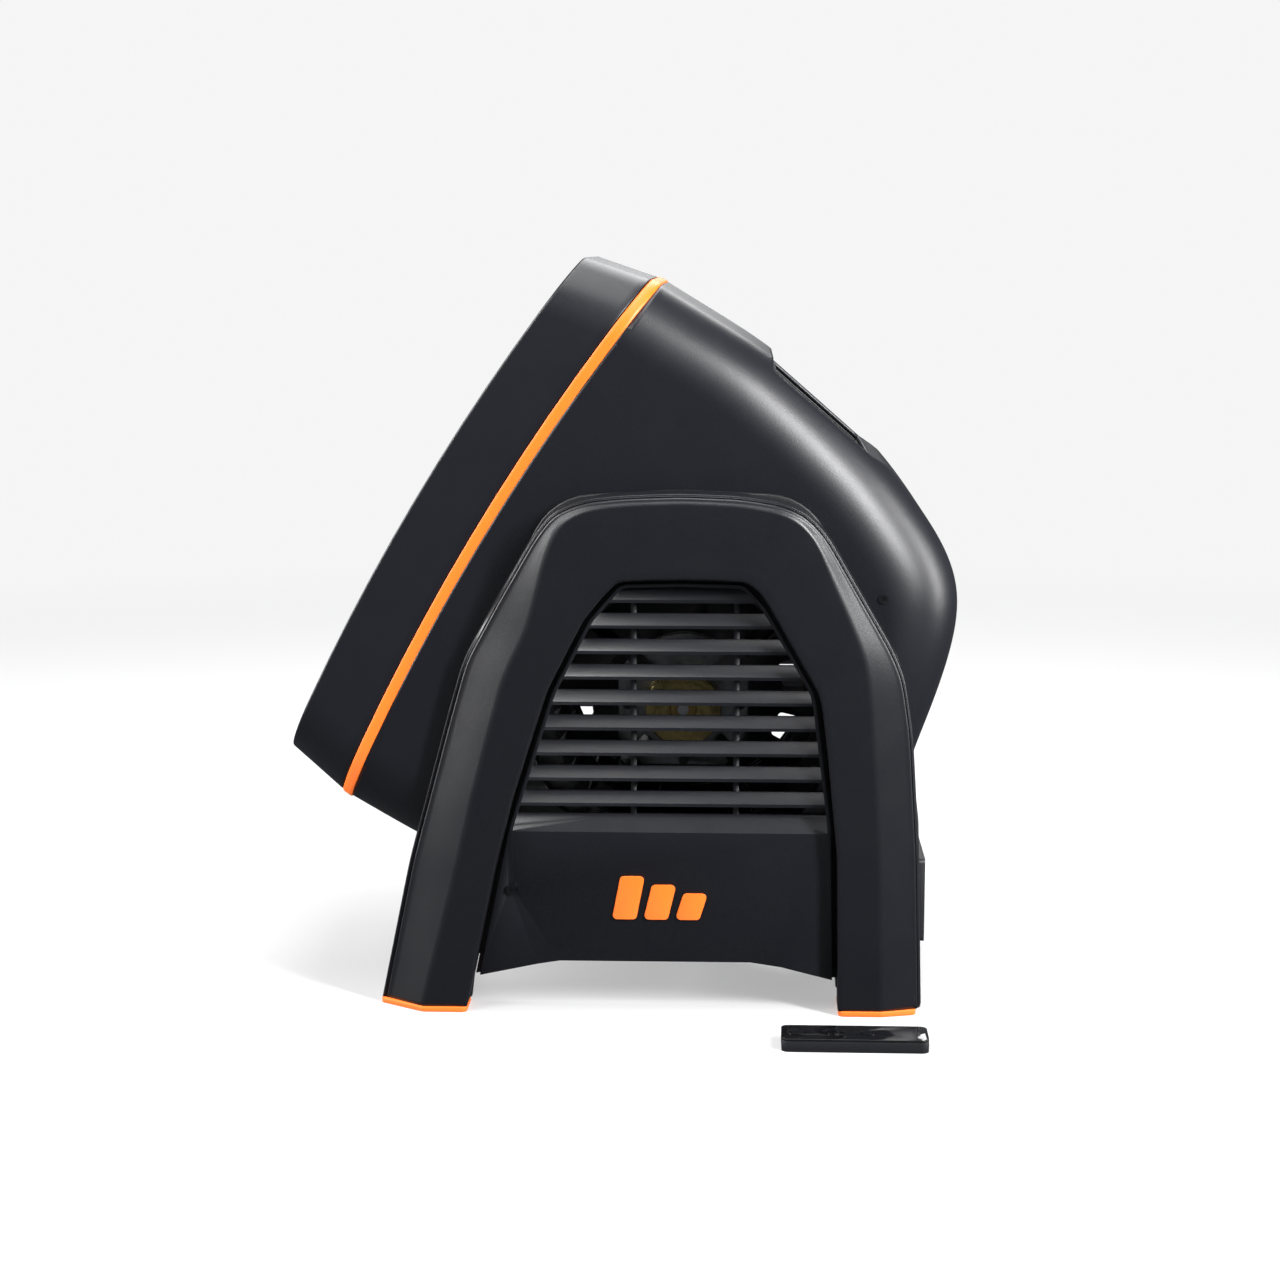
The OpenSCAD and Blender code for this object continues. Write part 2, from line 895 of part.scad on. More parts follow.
module motor_bolts() {
  color("#9a9c9f")
    on_axis()
      for (a = [0 : 90 : 270])
        rotate([a, 0, 0])
          translate([0, bolt_c, 0])
            rotate([0, 90, 0]) {
              translate([0, 0, motor_x - 43 - 3])
                cylinder(h = 50, r = 2, $fn = 24);
              translate([0, 0, motor_x - 43 - 3])
                cylinder(h = 2.9, r = 3.6, $fn = 6);
              translate([0, 0, motor_x + 2 + gap])
                cylinder(h = 2.4, r = 3.4, $fn = 24);
            }
}

arm_x = side_x + gap;

arm_r = wheel_r - blade_w + 4;

// Sheet steel carrier: a collar in the inlet, a plate over the top and four feet on the motor.
module motor_arms() {
  color("#222327")
    on_axis() {
      tube_x(arm_x - 6, arm_x + 2, arm_r - 0.25, arm_r - 1.7);
      slab(arm_x - 6, arm_x - 4)
        polygon(concat([for (a = [38 : 5.9 : 156.1]) (arm_r - 1) * [cos(a), sin(a)]],
          [for (a = [156 : -5.9 : 37.9]) 62 * [cos(a), sin(a)]]));
      for (a = [45, 135, 225, 315])
        rotate([a, 0, 0]) {
          box3([arm_x - 6, arm_x - 4], [60, arm_r - 1], [-5, 5]);
          box3([motor_x + 6.2, arm_x - 4], [60, 62], [-5, 5]);
          box3([motor_x + 6.2, motor_x + 8.2], [34.5, 62], [-5, 5]);
        }
    }
}

module motor_grommets() {
  color("#1a1a1c")
    on_axis()
      for (a = [45, 135, 225, 315])
        rotate([a, 0, 0])
          translate([motor_x + 2 + gap, 38.5, 0])
            rotate([0, 90, 0])
              cylinder(h = 4, r = 4, $fn = 32);
}

module shaft_bearings() {
  color("#c7a253")
    on_axis() {
      tube_x(motor_x - 46, motor_x - 38, 9, shaft_r + shaft_clear);
      tube_x(motor_x - 1, motor_x + 21, 9, shaft_r + shaft_clear);
    }
}

module run_capacitor() {
  color("#2c3a52")
    in_head()
      translate([0, -125, 192])
        rotate([0, 90, 0])
          cylinder(h = 50, r = 11, center = true, $fn = 48);
}

// Double inlet wheel: blades between end rings on a windowed centre disc.
module blower_wheel() {
  color("#2b2c31")
    on_axis()
      union() {
        difference() {
          disc_x(-1.3, 1.3, wheel_r - 0.4);
          disc_x(-5, 5, 12.1);
          for (a = [9 : 30 : 339])
            rotate([a, 0, 0])
              slab(-5, 5)
                polygon(rounded([[71, -9, 3], [71, 9, 3], [87, 11.2, 3], [87, -11.2, 3]]));
        }
        tube_x(-wheel_h, -wheel_h + 4, wheel_r, wheel_r - blade_w);
        tube_x(wheel_h - 4, wheel_h, wheel_r, wheel_r - blade_w);
        for (i = [0 : blade_count - 1])
          rotate([i * 360 / blade_count, 0, 0])
            translate([0, wheel_r - blade_w / 2 - 0.6, 0])
              rotate([28, 0, 0])
                cube([2 * wheel_h - 2, blade_w - 2.5, 1.4], center = true);
      }
}

module wheel_hub() {
  color("#8f9195")
    on_axis()
      difference() {
        union() {
          disc_x(-12, 12, 12);
          disc_x(1.4, 4, 24);
        }
        disc_x(-20, 20, shaft_r + 0.02);
      }
}

module motor_shaft() {
  color("#c9cbce")
    on_axis()
      disc_x(-15, motor_x + 23, shaft_r);
}

module motor_rotor_core() {
  color("#77797d")
    on_axis()
      tube_x(motor_x - 34, motor_x - 7, stator_r - 22 - air_gap, shaft_r + 0.02);
}

module shaft_clip() {
  color("#c9cbce")
    on_axis()
      tube_x(-13.4, -12.2, 7.5, shaft_r + 0.02);
}

function pad2(l, w, r) = rounded([[-w / 2, -l / 2, r], [-w / 2, l / 2, r], [w / 2, l / 2, r],
  [w / 2, -l / 2, r]]);

module at_remote(z) {
  translate([remote_x, remote_y, z])
    children();
}

function key_y(k) = -14.5 + 23.5 * k;

module remote_case() {
  color("#1a1b20")
    at_remote(0)
      difference() {
        linear_extrude(remote_t - 1.6)
          polygon(pad2(remote_l, remote_w, 5));
        translate([0, 0, 1.6])
          linear_extrude(30)
            polygon(pad2(remote_l - 3.2, remote_w - 3.2, 3.5));
        translate([0, remote_l / 2 - 14, remote_t / 2 - 0.7])
          cube([cell_r * 2 + 3.6, 60, 4.4], center = true);
      }
}

module remote_cover() {
  color("#060607")
    at_remote(remote_t - 1.6 + 0.02)
      difference() {
        linear_extrude(1.6)
          polygon(pad2(remote_l, remote_w, 5));
        for (k = [-1 : 1])
          translate([0, key_y(k), -1])
            cylinder(h = 9, r = 4.5 + 0.35, $fn = 40);
      }
}

module remote_board() {
  color("#1d4a2c")
    at_remote(0)
      translate([0, -14, 1.8])
        linear_extrude(0.8)
          polygon(pad2(62, remote_w - 5, 2));
}

module remote_battery_tray() {
  color("#16171b")
    at_remote(remote_t / 2 - 0.7 - 1.9)
      difference() {
        translate([0, remote_l / 2 - 13.5, 1.9])
          cube([cell_r * 2 + 2.8, 27, 3.8], center = true);
        translate([0, remote_l / 2 - 14.5, 0.6])
          cylinder(h = 9, r = cell_r + 0.1, $fn = 64);
      }
}

module remote_coin_cell() {
  color("#c4c6c9")
    at_remote(remote_t / 2 - 0.7 - 1.9 + 0.65)
      translate([0, remote_l / 2 - 14.5, 0])
        cylinder(h = 2.5, r = cell_r, $fn = 64);
}

module remote_button(k) {
  at_remote(3.9)
    translate([0, key_y(k), 0])
      union() {
        cylinder(h = remote_t - 3.9 + 0.3, r = 4.5, $fn = 40);
        cylinder(h = remote_t - 1.6 - 3.9 - 0.5, r = 5.6, $fn = 40);
      }
}

module remote_button_power() {
  color("#0a0a0c")
    remote_button(-1);
}

module remote_button_speed() {
  color("#0a0a0c")
    remote_button(0);
}

module remote_button_timer() {
  color("#0a0a0c")
    remote_button(1);
}

left_arch_cover();
right_arch_cover();
left_side_panel();
right_side_panel();
left_inner_frame();
right_inner_frame();
left_pivot_bush();
right_pivot_bush();
left_badge();
right_badge();
front_crossbeam();
rear_control_box();
control_panel();
panel_button_power();
panel_button_speed();
panel_button_timer();
mains_switch();
power_inlet();
control_board();
receiver_window();
front_soles();
rear_soles();
rear_foot_blocks();
stand_screws();
front_bezel();
accent_ring();
left_rear_shell();
right_rear_shell();
scroll_housing();
left_inlet_ring();
right_inlet_ring();
outlet_grille();
handle_cup();
grip_bar();
head_screws();
motor_plate();
motor_can();
motor_end_bracket();
motor_stator();
motor_windings();
motor_bolts();
motor_arms();
motor_grommets();
shaft_bearings();
run_capacitor();
blower_wheel();
wheel_hub();
motor_shaft();
motor_rotor_core();
shaft_clip();
remote_case();
remote_cover();
remote_board();
remote_coin_cell();
remote_battery_tray();
remote_button_power();
remote_button_speed();
remote_button_timer();
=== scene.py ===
import bpy, bmesh, json, math
import numpy as np
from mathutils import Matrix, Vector


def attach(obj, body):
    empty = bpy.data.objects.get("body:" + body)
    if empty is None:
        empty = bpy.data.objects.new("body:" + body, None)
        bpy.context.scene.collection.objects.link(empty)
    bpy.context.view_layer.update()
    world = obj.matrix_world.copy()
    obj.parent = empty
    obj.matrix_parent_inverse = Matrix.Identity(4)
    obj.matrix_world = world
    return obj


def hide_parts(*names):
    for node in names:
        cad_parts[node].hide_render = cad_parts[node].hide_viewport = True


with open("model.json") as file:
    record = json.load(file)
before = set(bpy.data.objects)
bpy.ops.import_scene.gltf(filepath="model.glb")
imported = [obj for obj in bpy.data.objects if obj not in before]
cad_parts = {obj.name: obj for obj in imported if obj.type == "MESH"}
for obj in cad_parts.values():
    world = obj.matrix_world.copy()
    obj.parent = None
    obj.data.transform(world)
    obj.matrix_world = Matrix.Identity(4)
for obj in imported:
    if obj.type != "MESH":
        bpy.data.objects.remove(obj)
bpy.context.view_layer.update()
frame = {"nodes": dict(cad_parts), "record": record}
print("stage: frame loaded")

# materials

def newMaterial(name):
    mat = bpy.data.materials.new(name)
    mat.use_nodes = True
    nodes = mat.node_tree.nodes
    return mat, nodes, mat.node_tree.links, nodes["Principled BSDF"]

def noiseNode(nodes, links, coord, scale, detail=3.0, rough=0.5):
    n = nodes.new("ShaderNodeTexNoise")
    n.inputs["Scale"].default_value = scale
    n.inputs["Detail"].default_value = detail
    n.inputs["Roughness"].default_value = rough
    links.new(coord.outputs["Object"], n.inputs["Vector"])
    return n

def mouldedPlastic(name, colour, roughness, grain=0.10, grainScale=1400.0, vary=0.05, spec=0.5,
                   coat=0.0, coatRough=0.3):
    # fine moulded grain, a little uneven gloss, a little uneven tone
    mat, nodes, links, bsdf = newMaterial(name)
    coord = nodes.new("ShaderNodeTexCoord")
    fine = noiseNode(nodes, links, coord, grainScale, 2.0, 0.6)
    broad = noiseNode(nodes, links, coord, 38.0, 4.0, 0.55)
    ramp = nodes.new("ShaderNodeMapRange")
    ramp.inputs["To Min"].default_value = roughness - vary
    ramp.inputs["To Max"].default_value = roughness + vary
    links.new(broad.outputs["Fac"], ramp.inputs["Value"])
    links.new(ramp.outputs["Result"], bsdf.inputs["Roughness"])
    tone = nodes.new("ShaderNodeMixRGB")
    tone.inputs["Color1"].default_value = (*[c * 0.86 for c in colour], 1)
    tone.inputs["Color2"].default_value = (*[min(1, c * 1.12) for c in colour], 1)
    links.new(fine.outputs["Fac"], tone.inputs["Fac"])
    links.new(tone.outputs["Color"], bsdf.inputs["Base Color"])
    bump = nodes.new("ShaderNodeBump")
    bump.inputs["Strength"].default_value = grain
    bump.inputs["Distance"].default_value = 0.0004
    links.new(fine.outputs["Fac"], bump.inputs["Height"])
    links.new(bump.outputs["Normal"], bsdf.inputs["Normal"])
    bsdf.inputs["Specular IOR Level"].default_value = spec
    bsdf.inputs["Coat Weight"].default_value = coat
    bsdf.inputs["Coat Roughness"].default_value = coatRough
    return mat

def metalFinish(name, colour, roughness, streak=(1, 1, 1), scale=220.0, vary=0.10, bumpStrength=0.08,
                spangle=0.0):
    mat, nodes, links, bsdf = newMaterial(name)
    coord = nodes.new("ShaderNodeTexCoord")
    place = nodes.new("ShaderNodeMapping")
    place.inputs["Scale"].default_value = streak
    links.new(coord.outputs["Object"], place.inputs["Vector"])
    grain = nodes.new("ShaderNodeTexNoise")
    grain.inputs["Scale"].default_value = scale
    grain.inputs["Detail"].default_value = 4.0
    links.new(place.outputs["Vector"], grain.inputs["Vector"])
    rough = nodes.new("ShaderNodeMapRange")
    rough.inputs["To Min"].default_value = roughness - vary
    rough.inputs["To Max"].default_value = roughness + vary
    links.new(grain.outputs["Fac"], rough.inputs["Value"])
    links.new(rough.outputs["Result"], bsdf.inputs["Roughness"])
    flake = nodes.new("ShaderNodeTexVoronoi")
    flake.inputs["Scale"].default_value = 160.0
    links.new(coord.outputs["Object"], flake.inputs["Vector"])
    tone = nodes.new("ShaderNodeMixRGB")
    tone.inputs["Color1"].default_value = (*[c * (1 - 0.45 * spangle - 0.08) for c in colour], 1)
    tone.inputs["Color2"].default_value = (*colour, 1)
    links.new((flake if spangle > 0 else grain).outputs[0], tone.inputs["Fac"])
    links.new(tone.outputs["Color"], bsdf.inputs["Base Color"])
    bump = nodes.new("ShaderNodeBump")
    bump.inputs["Strength"].default_value = bumpStrength
    bump.inputs["Distance"].default_value = 0.0003
    links.new(grain.outputs["Fac"], bump.inputs["Height"])
    links.new(bump.outputs["Normal"], bsdf.inputs["Normal"])
    bsdf.inputs["Metallic"].default_value = 1.0
    return mat

satinBlack = mouldedPlastic("satinBlack", (0.0050, 0.0055, 0.0085), 0.38, grain=0.16, vary=0.03)
coverBlack = mouldedPlastic("coverBlack", (0.0050, 0.0055, 0.0080), 0.36, grain=0.16, grainScale=1100.0, vary=0.04)
# a slightly darker copy of the black plastic for the louvre slats behind the arch covers: painted shade
shadedLouvreBlack = mouldedPlastic("shadedLouvreBlack", (0.0045, 0.0050, 0.0080), 0.42, grain=0.22)
innerBlack = mouldedPlastic("innerBlack", (0.0060, 0.0063, 0.0080), 0.50, grain=0.20)
bushNylon = mouldedPlastic("bushNylon", (0.62, 0.60, 0.54), 0.42, grain=0.05)
accentOrange = mouldedPlastic("accentOrange", (1.0, 0.165, 0.008), 0.42, grain=0.06, vary=0.03)
soleOrange = mouldedPlastic("soleOrange", (0.95, 0.165, 0.008), 0.60, grain=0.20, vary=0.04)
buttonGrey = mouldedPlastic("buttonGrey", (0.035, 0.036, 0.042), 0.42, grain=0.10)
windowRed = mouldedPlastic("windowRed", (0.045, 0.004, 0.006), 0.12, grain=0.0, vary=0.02, coat=0.6, coatRough=0.05)
boardGreen = mouldedPlastic("boardGreen", (0.012, 0.085, 0.035), 0.38, grain=0.05, grainScale=600.0)
rubberBlack = mouldedPlastic("rubberBlack", (0.012, 0.012, 0.013), 0.72, grain=0.25)
capacitorBlue = mouldedPlastic("capacitorBlue", (0.025, 0.045, 0.10), 0.28, grain=0.03, coat=0.3)
glossBlack = mouldedPlastic("glossBlack", (0.0045, 0.0045, 0.0055), 0.10, grain=0.012, vary=0.02, coat=0.8, coatRough=0.04)
remoteBlack = mouldedPlastic("remoteBlack", (0.010, 0.0105, 0.013), 0.42, grain=0.14)
bracketBlack = mouldedPlastic("bracketBlack", (0.012, 0.012, 0.013), 0.36, grain=0.05)
# galvanised grey set darker than bare zinc coating: partly the plate's own colour, partly painted shade for the dark
# inside of the head
galvanised = metalFinish("galvanised", (0.42, 0.43, 0.45), 0.34, spangle=0.5)
chromate = metalFinish("chromate", (0.62, 0.50, 0.20), 0.26, scale=120.0)
lamination = metalFinish("lamination", (0.20, 0.205, 0.215), 0.48, streak=(26, 1, 1), scale=60.0, bumpStrength=0.4)
copperWire = metalFinish("copperWire", (0.56, 0.22, 0.075), 0.32, streak=(1, 8, 8), scale=160.0, bumpStrength=0.5)
bronze = metalFinish("bronze", (0.55, 0.38, 0.14), 0.42)
screwSteel = metalFinish("screwSteel", (0.075, 0.078, 0.085), 0.36)
groundSteel = metalFinish("groundSteel", (0.66, 0.67, 0.69), 0.22, streak=(1, 20, 20))
castAlloy = metalFinish("castAlloy", (0.42, 0.43, 0.45), 0.46)

finishOf = {
    "shell_black": satinBlack, "frame_black": innerBlack, "bush_white": bushNylon,
    "accent_orange": accentOrange, "sole_orange": soleOrange, "button_grey": buttonGrey,
    "window_red": windowRed, "board_green": boardGreen, "screw_steel": screwSteel,
    "bracket_black": bracketBlack, "galvanised": galvanised, "chromate": chromate,
    "lamination": lamination, "copper": copperWire,
    "grommet_rubber": rubberBlack, "bronze": bronze, "capacitor_case": capacitorBlue,
    "shaft_steel": groundSteel, "hub_alloy": castAlloy, "remote_black": remoteBlack,
    "remote_gloss": glossBlack}
slotOf = {p["node"]: p["material_slot"] for p in frame["record"]["subparts"]}
bodyOf = {n: b for b, ns in frame["record"]["behaviour"]["bodies"].items() for n in ns}
for node, obj in frame["nodes"].items():
    obj.data.materials.clear()
    obj.data.materials.append(finishOf[slotOf[node]])
print("stage: finishes made")

# ways of making meshes

def addPiece(name, mesh, mat, body, nodes=(), smooth=True):
    obj = bpy.data.objects.new(name, mesh)
    bpy.context.scene.collection.objects.link(obj)
    mesh.materials.clear()
    mesh.materials.append(mat)
    if smooth:
        mesh.shade_smooth()
    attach(obj, body)
    if nodes:
        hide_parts(*nodes)
    return obj

def gridFaces(m, n, wrapRows=False, wrapCols=False, offset=0):
    # quads between neighbouring rows and columns of an m by n grid
    r = np.arange(m if wrapRows else m - 1)
    c = np.arange(n if wrapCols else n - 1)
    i, j = np.meshgrid(r, c, indexing="ij")
    i2, j2 = (i + 1) % m, (j + 1) % n
    q = np.stack([i * n + j, i * n + j2, i2 * n + j2, i2 * n + j], -1).reshape(-1, 4)
    return q + offset

def meshFrom(name, points, faces):
    # points in millimetres; doubles merged and faces turned outwards
    mesh = bpy.data.meshes.new(name)
    mesh.from_pydata((np.asarray(points) / 1000.0).tolist(), [], [list(map(int, f)) for f in faces])
    bm = bmesh.new()
    bm.from_mesh(mesh)
    bmesh.ops.remove_doubles(bm, verts=bm.verts, dist=2e-6)
    bmesh.ops.recalc_face_normals(bm, faces=bm.faces)
    bm.to_mesh(mesh)
    bm.free()
    return mesh

softEdge = {"angle": 30.0, "segments": 2, "flatAngle": 0.6}

def edgeBevel(obj, width):
    mod = obj.modifiers.new("edges", "BEVEL")
    mod.width = width / 1000.0
    mod.segments = softEdge["segments"]
    mod.limit_method = "ANGLE"
    mod.angle_limit = math.radians(softEdge["angle"])
    mod.harden_normals = True
    mod.use_clamp_overlap = True

def softened(node, width, mat=None, plainFaces=True):
    # a copy of a CAD node, merged and with its edges broken
    src = frame["nodes"][node]
    mesh = src.data.copy()
    bm = bmesh.new()
    bm.from_mesh(mesh)
    bmesh.ops.remove_doubles(bm, verts=bm.verts, dist=1e-6)
    if plainFaces:
        flat = math.radians(softEdge["flatAngle"])
        bmesh.ops.dissolve_limit(bm, angle_limit=flat, verts=bm.verts, edges=bm.edges)
    bm.to_mesh(mesh)
    bm.free()
    obj = addPiece(node + "_soft", mesh, mat or finishOf[slotOf[node]], bodyOf[node], [node])
    edgeBevel(obj, width)
    return obj

def smoothRows(p, sigma):
    # Gaussian average along the first axis, end rows kept
    half = int(3 * sigma) + 1
    w = np.exp(-0.5 * (np.arange(-half, half + 1) / sigma) ** 2)
    w /= w.sum()
    first, last = p[:1], p[-1:]
    pad = np.concatenate([2 * first - p[half:0:-1], p, 2 * last - p[-2:-half - 2:-1]])
    return np.stack([np.convolve(pad[:, c], w, "valid") for c in range(p.shape[1])], 1)

def alongLine(p, count):
    # evenly spaced points on a polyline
    p = np.asarray(p, float)
    s = np.concatenate([[0], np.cumsum(np.linalg.norm(np.diff(p, axis=0), axis=1))])
    t = np.linspace(0, s[-1], count)
    return np.stack([np.interp(t, s, p[:, c]) for c in range(p.shape[1])], 1)

# head: sizes shared by its mouldings

head = {"axisHeight": 203.6, "lean": 31.3, "halfWidth": 122.0, "rounding": 48.0, "top": 246.5,
        "bottom": -180.0, "ringBack": -173.4, "ringApex": -187.0, "frontApex": -237.4, "ringWidth": 8.0,
        "bowRadius": 1627.0, "midHeight": 33.0, "sideDraft": 0.0943, "topDraft": 0.2196,
        "bottomDraft": 0.1758, "seamGap": 0.05}

def leanBack(p):
    # head frame (x, back, up from the pivot) to the shared frame
    a = math.radians(head["lean"])
    x, u, v = p[..., 0], p[..., 1], p[..., 2]
    return np.stack([x, u * math.cos(a) + v * math.sin(a), head["axisHeight"] - u * math.sin(a) + v * math.cos(a)], -1)

def bowAt(v, apex):
    # a shallow arc across the height, furthest forward at mid height
    r = head["bowRadius"]
    return apex + r - np.sqrt(r * r - (v - head["midHeight"]) ** 2)

def sectionLoop(u, inset, steps=14):
    # rounded rectangle across the head at depth u: straight sides and four quarter circles
    f = np.maximum(0, head["ringBack"] - u)
    w = head["halfWidth"] - inset - head["sideDraft"] * f
    top = head["top"] - inset - head["topDraft"] * f
    bot = head["bottom"] + inset + head["bottomDraft"] * f
    r = head["rounding"] - inset
    a = np.linspace(0, math.pi / 2, steps)
    q = [(w - r + r * np.sin(a), top - r + r * np.cos(a)), (w - r + r * np.cos(a), bot + r - r * np.sin(a)),
         (-w + r - r * np.sin(a), bot + r - r * np.cos(a)), (-w + r - r * np.cos(a), top - r + r * np.sin(a))]
    x = np.concatenate([c[0] for c in q])
    z = np.concatenate([c[1] for c in q])
    return x, z

def fineLoop(x, z, extra=9):
    # extra points on the four straight runs, so the bow can bend them
    n = len(x) // 4
    xs, zs = [], []
    for k in range(4):
        a = slice(k * n, (k + 1) * n)
        xs.append(x[a]); zs.append(z[a])
        i, j = (k + 1) * n - 1, ((k + 1) * n) % len(x)
        t = np.linspace(0, 1, extra + 2)[1:-1]
        xs.append(x[i] + (x[j] - x[i]) * t); zs.append(z[i] + (z[j] - z[i]) * t)
    return np.concatenate(xs), np.concatenate(zs)

def bowedRow(apex, inset):
    # the section where it meets the bowed surface with this apex, found by four rounds of substitution
    x, z = fineLoop(*sectionLoop(apex + 6, inset))
    xs, zs = fineLoop(*sectionLoop(head["ringBack"], inset))
    mid = head["midHeight"]
    topRun = head["top"] - inset - mid
    botRun = mid - head["bottom"] - inset
    halfWidth = head["halfWidth"] - inset
    for _ in range(4):
        f = np.maximum(0, head["ringBack"] - bowAt(z, apex))
        upper = mid + (zs - mid) * (topRun - head["topDraft"] * f) / topRun
        lower = mid + (zs - mid) * (botRun - head["bottomDraft"] * f) / botRun
        z = np.where(zs >= mid, upper, lower)
        x = xs * (halfWidth - head["sideDraft"] * f) / halfWidth
    return np.stack([x, bowAt(z, apex), z], 1)

def ringPiece(name, path, mat, nodes):
    # a closed cross-section path of (apex, inset) pairs carried round the head
    rows = np.stack([bowedRow(a, i) for a, i in path])
    m, n = rows.shape[:2]
    mesh = meshFrom(name, leanBack(rows).reshape(-1, 3), gridFaces(m, n, True, True))
    return addPiece(name, mesh, mat, "head", nodes)

bezel = {"edge": 1.4, "wall": 3.0}
rb = head["ringApex"] - head["ringWidth"] / 2
fa = head["frontApex"]
e = bezel["edge"]
bezelPath = [(rb - 0.55, 0.45), (rb - 0.9, 0.12), (rb - 1.4, 0.0)]
bezelPath += [(a, 0.0) for a in np.linspace(rb - 6, fa + e + 1, 9)]
bezelPath += [(fa + e * (1 - math.sin(t)), e * (1 - math.cos(t))) for t in np.linspace(0.05, math.pi / 2, 6)]
bezelPath += [(fa, bezel["wall"] - 0.6), (fa + 0.3, bezel["wall"] - 0.1), (fa + 0.9, bezel["wall"])]
bezelPath += [(fa + 12, bezel["wall"]), (fa + 30, bezel["wall"]), (rb - 0.55, bezel["wall"])]
ringPiece("bezelShell", bezelPath, satinBlack, ["front_bezel"])
rf, rr = rb + 0.05, rb + head["ringWidth"] - 0.05
ringPath = [(rf, 0.3), (rf + 0.15, -0.25), (rf + 0.6, -0.6), (rf + 2.5, -0.65), (rr - 2.5, -0.65), (rr - 0.6, -0.6),
            (rr - 0.15, -0.25), (rr, 0.3), (rr, 3.0), (rf, 3.0)]
ringPiece("accentBand", ringPath, accentOrange, ["accent_ring"])
print("stage: bezel and ring made")

# head: rear shells

shell = {"slope": -9.8, "cupMid": (-25.7, 235.9), "cupHalfLength": 42.5, "cupHalfWidth": 79.5,
         "floorAt": [-52.4, -50.9, -46.6, -45, 43.7, 63.5], "floorLevel": [1.3, -0.2, -5.2, -6, -6, -3.1],
         "inletRadius": 119.5, "rearRadius": 166.0, "seam": 0.25,
         "roundDepth": 339.0, "roundHeight": 213.25, "inletLip": 9.0, "thickness": 3.0}

def sideProfile():
    # the head's outline seen from the side: nearly straight top, round shoulder, arc about the pivot, flat base
    hand = [(-190, 246.5), (-110, 246.5), (-79, 246), (-20, 235.6), (35.4, 222), (70, 208), (94.3, 196.6), (112, 184.5),
            (125.2, 170.1), (136.8, 143.9), (145.6, 111.7), (151, 86)]
    a = np.radians(np.arange(20, -86, -7.5))
    arc = np.stack([shell["rearRadius"] * np.cos(a), shell["rearRadius"] * np.sin(a)], 1)
    base = [(-60, -174.5), (-116, -178.7), (-190, -180)]
    p = alongLine(np.concatenate([hand, arc, base]), 420)
    p = smoothRows(p, 7.0)
    return p

profile = sideProfile()
slopeA = math.radians(shell["slope"])

def toRecess(u, v):
    du, dv = u - shell["cupMid"][0], v - shell["cupMid"][1]
    return du * math.cos(slopeA) + dv * math.sin(slopeA), -du * math.sin(slopeA) + dv * math.cos(slopeA)

def fromRecess(a, w):
    u = shell["cupMid"][0] + a * math.cos(slopeA) - w * math.sin(slopeA)
    v = shell["cupMid"][1] + a * math.sin(slopeA) + w * math.cos(slopeA)
    return u, v

def profilePlaces():
    # even places along the profile, plus close ones at the ends of the recess and of the pocket
    s = np.concatenate([[0], np.cumsum(np.linalg.norm(np.diff(profile, axis=0), axis=1))])
    a, _ = toRecess(profile[:, 0], profile[:, 1])
    onTop = profile[:, 1] > 150
    def where(x):
        k = np.nonzero(onTop)[0]
        return float(np.interp(x, a[k], s[k]))
    base = np.linspace(0, s[-1], 170)
    extra = [where(x) for x in (-53.4, -52.4, -50.9, -48.5, -46.6, -45, -43.4, -42.9, -42.5, 42.5, 42.9, 43.7, 48, 54,
                                60, 62.5, 63.5, 64.5)]
    extra = np.array(extra)
    keep = base[np.abs(base[:, None] - extra[None]).min(1) > 1.2]
    t = np.sort(np.concatenate([keep, extra]))
    return np.stack([np.interp(t, s, profile[:, 0]), np.interp(t, s, profile[:, 1])], 1)

def shellFront(v):
    # the shells start a hair behind the accent ring
    return bowAt(v, head["ringApex"] + head["ringWidth"] / 2 + head["seamGap"])

